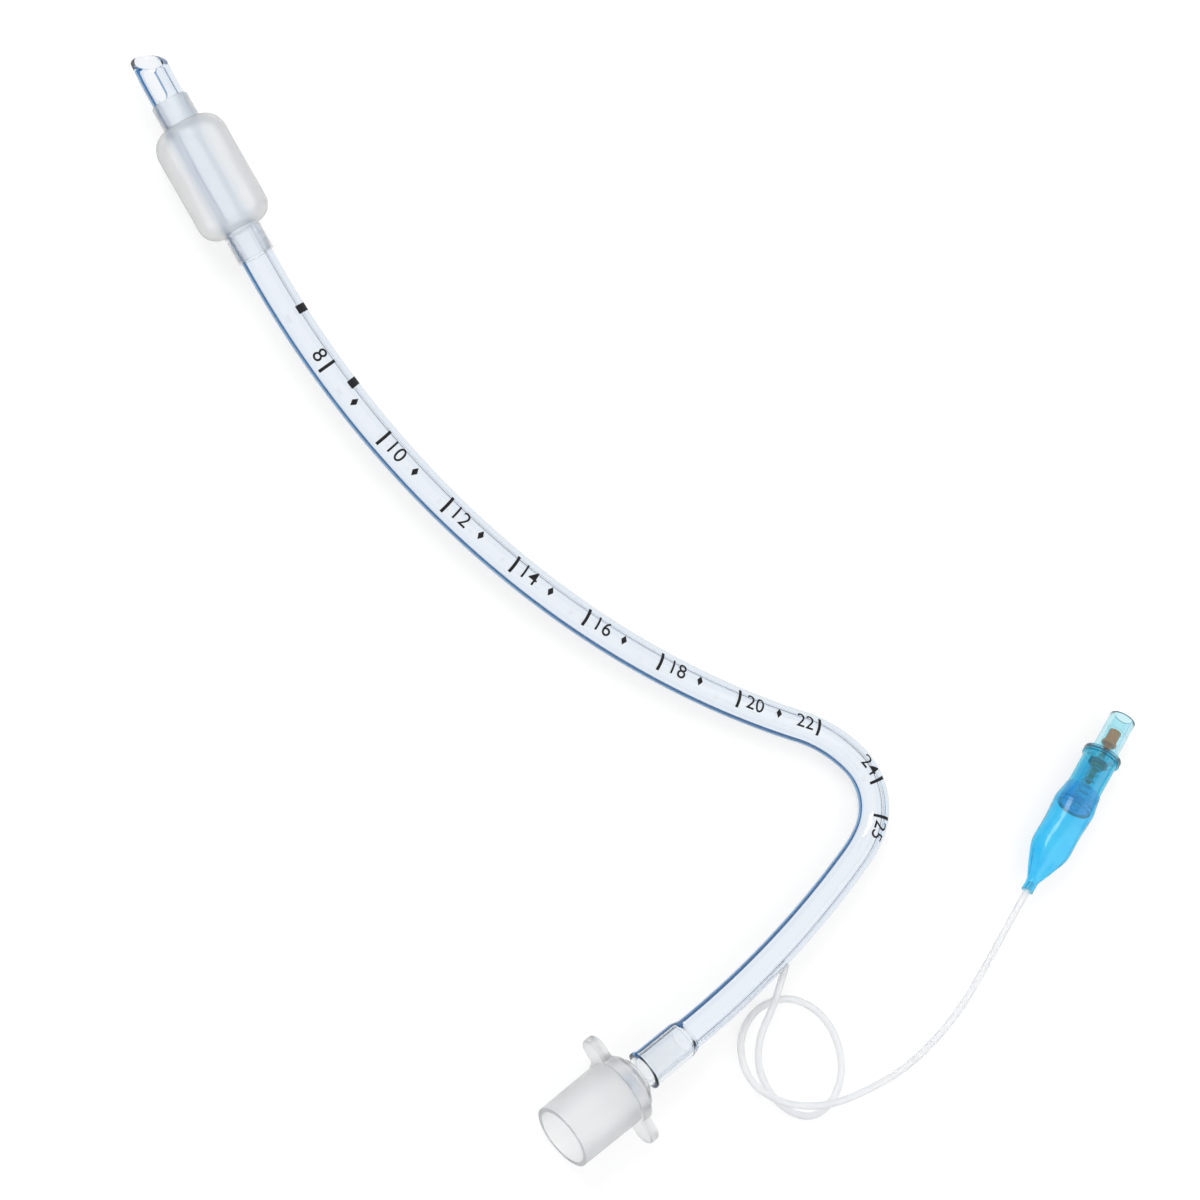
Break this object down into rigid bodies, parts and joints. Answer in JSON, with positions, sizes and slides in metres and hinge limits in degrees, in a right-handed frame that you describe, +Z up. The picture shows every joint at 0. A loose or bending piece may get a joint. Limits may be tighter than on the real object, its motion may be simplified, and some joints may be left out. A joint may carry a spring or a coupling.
{
  "type": "cuffed preformed endotracheal tube",
  "caption": "Cuffed, preformed endotracheal tube with 15 mm connector, inflation line, pilot balloon and spring valve, laid flat.",
  "frame": {"origin": "middle of the underside of the tube's box, pilot line left out, on the table", "axes": "+Z up from the table, +Y from the connector towards the tip, +X towards the sharp bend"},
  "size_m": [0.2535, 0.2356, 0.017],
  "materials": {
    "tube_pvc": "clear soft PVC",
    "xray_blue": "filled blue plastic",
    "cuff_film": "frosted film",
    "connector_pp": "milky moulded polypropylene",
    "line_pvc": "translucent soft tube",
    "pilot_film": "light blue film",
    "valve_blue": "clear blue moulding",
    "valve_clear": "pale cyan clear moulding",
    "plunger_orange": "moulded",
    "seal_rubber": "moulded",
    "spring_steel": "drawn wire"
  },
  "bodies": {
    "root": {"airway_tube": "tube_pvc", "xray_stripe": "xray_blue", "cuff": "cuff_film", "connector": "connector_pp", "inflation_line": "line_pvc", "pilot_balloon": "pilot_film", "valve_housing": "valve_blue", "valve_port": "valve_clear", "valve_spring": "spring_steel"},
    "plunger": {"valve_plunger": "plunger_orange", "valve_seal": "seal_rubber"}
  },
  "joints": [
    {"name": "plunger_press", "type": "slide", "parent": "root", "child": "plunger", "axis": [-0.5621, -0.8271, 0], "range_m": [0, 0.0018], "stiffness_N_per_m": 600, "deforming": ["valve_spring"]}
  ]
}
